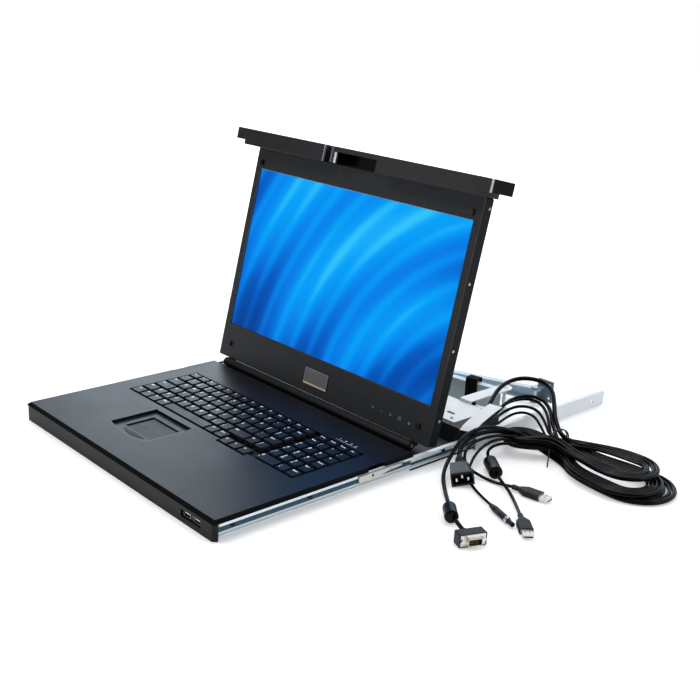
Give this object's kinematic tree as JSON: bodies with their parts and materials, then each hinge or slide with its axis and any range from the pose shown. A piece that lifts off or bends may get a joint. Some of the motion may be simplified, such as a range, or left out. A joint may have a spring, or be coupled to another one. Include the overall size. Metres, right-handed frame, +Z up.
{
  "type": "rackmount lcd console drawer",
  "caption": "Rack console drawer: a keyboard and touchpad deck on ball-bearing slides, a hinged flat screen lid with a pull bar, a folding cable arm and tied cords.",
  "frame": {"origin": "middle of the floor under the drawer and its slides, with the drawer pulled out and the lid open", "axes": "+X to the user's right, +Y away from the user towards the rear of the rack, +Z up"},
  "size_m": [0.6913, 0.685, 0.3606],
  "materials": {
    "deck_paint": "satin charcoal paint",
    "panel_paint": "satin dark grey paint",
    "chassis_paint": "fine black paint",
    "key_plastic": "matte black key caps",
    "base_plastic": "black moulded base",
    "pad_plastic": "black moulded recess",
    "pad_surface": "fine satin film",
    "button_plastic": "satin grey buttons",
    "socket_plastic": "black moulding",
    "socket_steel": "tinned steel",
    "slide_steel": "bright zinc plate",
    "cage_steel": "pressed steel",
    "ball_steel": "polished bearing steel",
    "lever_steel": "pressed steel with a warm passivated tint",
    "pin_steel": "turned steel",
    "plate_steel": "bright zinc plate",
    "arm_steel": "pale blue-grey zinc finish",
    "bracket_paint": "dark blue-grey paint",
    "strap_fabric": "black hook-and-loop tape",
    "board_laminate": "green circuit board",
    "module_aluminium": "plain sheet can",
    "bezel_plastic": "slate grey moulding",
    "lid_paint": "dark grey paint",
    "screen": "lit blue picture behind a satin filter",
    "knuckle_steel": "black paint",
    "bumper_rubber": "black rubber",
    "badge_metal": "bare satin plate",
    "bar_plastic": "dark satin moulding",
    "latch_metal": "satin grey",
    "clamp_plastic": "black moulding",
    "cord_pvc": "black cord jacket",
    "plug_plastic": "black moulded plugs"
  },
  "bodies": {
    "rack_slides": {"outer_slide_left": "slide_steel", "outer_slide_right": "slide_steel"},
    "drawer": {"deck_plate": "deck_paint", "keyboard_base": "base_plastic", "touchpad_frame": "pad_plastic", "touchpad_plate": "pad_surface", "front_panel": "panel_paint", "usb_insert": "socket_plastic", "usb_sockets": "socket_steel", "tray_pan": "chassis_paint", "hinge_barrel": "chassis_paint", "hinge_pins": "pin_steel", "rear_chassis": "chassis_paint", "chassis_cover": "chassis_paint", "rear_plate": "plate_steel", "main_board": "board_laminate", "power_module": "module_aluminium", "cable_clamp": "clamp_plastic", "inner_slide_left": "slide_steel", "inner_slide_right": "slide_steel", "arm_bracket": "arm_steel", "arm_pivot_pin": "pin_steel", "power_cord": "cord_pvc", "video_cord": "cord_pvc", "usb_cord_a": "cord_pvc", "usb_cord_b": "cord_pvc", "slim_cord": "cord_pvc", "power_plug": "plug_plastic", "video_plug": "plug_plastic", "usb_plugs": "plug_plastic", "slim_plug": "plug_plastic", "ferrite_cores": "plug_plastic", "cord_hank": "cord_pvc"},
    "ball_cages": {"ball_cages": "cage_steel", "slide_balls": "ball_steel"},
    "lid": {"lcd_bezel": "bezel_plastic", "lcd_back_cover": "lid_paint", "lcd_module": "screen", "lcd_driver_board": "board_laminate", "hinge_knuckles": "knuckle_steel", "lid_bumpers": "bumper_rubber", "badge_plate": "badge_metal", "fascia_bar": "bar_plastic"},
    "latch": {"latch_slider": "latch_metal"},
    "lever_left": {"release_lever_left": "lever_steel"},
    "lever_right": {"release_lever_right": "lever_steel"},
    "keys_function_row": {"keys_function_row": "key_plastic"},
    "keys_number_row": {"keys_number_row": "key_plastic"},
    "keys_main_rows": {"keys_main_rows": "key_plastic"},
    "space_bar": {"space_bar": "key_plastic"},
    "keys_arrows": {"keys_arrows": "key_plastic"},
    "keys_number_pad": {"keys_number_pad": "key_plastic"},
    "touchpad_button_left": {"touchpad_button_left": "button_plastic"},
    "touchpad_button_right": {"touchpad_button_right": "button_plastic"},
    "arm_inner": {"cable_arm_inner": "arm_steel", "elbow_pin": "pin_steel", "cable_strap": "strap_fabric"},
    "arm_outer": {"cable_arm_outer": "arm_steel", "end_pin": "pin_steel"},
    "arm_end": {"arm_end_bracket": "bracket_paint"}
  },
  "joints": [
    {"name": "drawer_slide", "type": "slide", "parent": "rack_slides", "child": "drawer", "axis": [0, 1, 0], "range_m": [0, 0.398]},
    {"name": "cage_slide", "type": "slide", "parent": "rack_slides", "child": "ball_cages", "axis": [0, 1, 0], "range_m": [0, 0.199]},
    {"name": "lid_hinge", "type": "hinge", "parent": "drawer", "child": "lid", "pos_m": [0, -0.0325, 0.0247], "axis": [1, 0, 0], "range_deg": [-7.4, 102.6]},
    {"name": "latch_slide", "type": "slide", "parent": "lid", "child": "latch", "axis": [-1, 0, 0], "range_m": [0, 0.006], "stiffness_N_per_m": 200, "springref_m": -0.006},
    {"name": "lever_left_pivot", "type": "hinge", "parent": "drawer", "child": "lever_left", "pos_m": [-0.211, -0.0845, 0.0165], "axis": [1, 0, 0], "range_deg": [0, 3], "stiffness_Nm_per_rad": 0.2, "springref_deg": -17.19},
    {"name": "lever_right_pivot", "type": "hinge", "parent": "drawer", "child": "lever_right", "pos_m": [0.211, -0.0845, 0.0165], "axis": [1, 0, 0], "range_deg": [0, 3], "stiffness_Nm_per_rad": 0.2, "springref_deg": -17.19},
    {"name": "keys_function_row_press", "type": "slide", "parent": "drawer", "child": "keys_function_row", "axis": [0, 0, -1], "range_m": [0, 0.0022], "stiffness_N_per_m": 600, "springref_m": -0.004},
    {"name": "keys_number_row_press", "type": "slide", "parent": "drawer", "child": "keys_number_row", "axis": [0, 0, -1], "range_m": [0, 0.0022], "stiffness_N_per_m": 600, "springref_m": -0.004},
    {"name": "keys_main_rows_press", "type": "slide", "parent": "drawer", "child": "keys_main_rows", "axis": [0, 0, -1], "range_m": [0, 0.0022], "stiffness_N_per_m": 600, "springref_m": -0.004},
    {"name": "space_bar_press", "type": "slide", "parent": "drawer", "child": "space_bar", "axis": [0, 0, -1], "range_m": [0, 0.0022], "stiffness_N_per_m": 600, "springref_m": -0.004},
    {"name": "keys_arrows_press", "type": "slide", "parent": "drawer", "child": "keys_arrows", "axis": [0, 0, -1], "range_m": [0, 0.0022], "stiffness_N_per_m": 600, "springref_m": -0.004},
    {"name": "keys_number_pad_press", "type": "slide", "parent": "drawer", "child": "keys_number_pad", "axis": [0, 0, -1], "range_m": [0, 0.0022], "stiffness_N_per_m": 600, "springref_m": -0.004},
    {"name": "touchpad_button_left_press", "type": "slide", "parent": "drawer", "child": "touchpad_button_left", "axis": [0, 0, -1], "range_m": [0, 0.0008], "stiffness_N_per_m": 300, "springref_m": -0.002},
    {"name": "touchpad_button_right_press", "type": "slide", "parent": "drawer", "child": "touchpad_button_right", "axis": [0, 0, -1], "range_m": [0, 0.0008], "stiffness_N_per_m": 300, "springref_m": -0.002},
    {"name": "arm_pivot", "type": "hinge", "parent": "drawer", "child": "arm_inner", "pos_m": [0.147, 0.2005, 0.021], "axis": [0, 0, 1], "range_deg": [-102, 0]},
    {"name": "arm_elbow", "type": "hinge", "parent": "arm_inner", "child": "arm_outer", "pos_m": [-0.14644, 0.13813, 0.021], "axis": [0, 0, 1], "range_deg": [0, 168.3]},
    {"name": "arm_end_pivot", "type": "hinge", "parent": "arm_outer", "child": "arm_end", "pos_m": [0.155, 0.2615, 0.021], "axis": [0, 0, 1], "range_deg": [-40, 30]}
  ],
  "couplings": [
    {"joint": "cage_slide", "follows": "drawer_slide", "ratio": 0.5},
    {"joint": "arm_elbow", "follows": "arm_pivot", "ratio": -1.65}
  ]
}
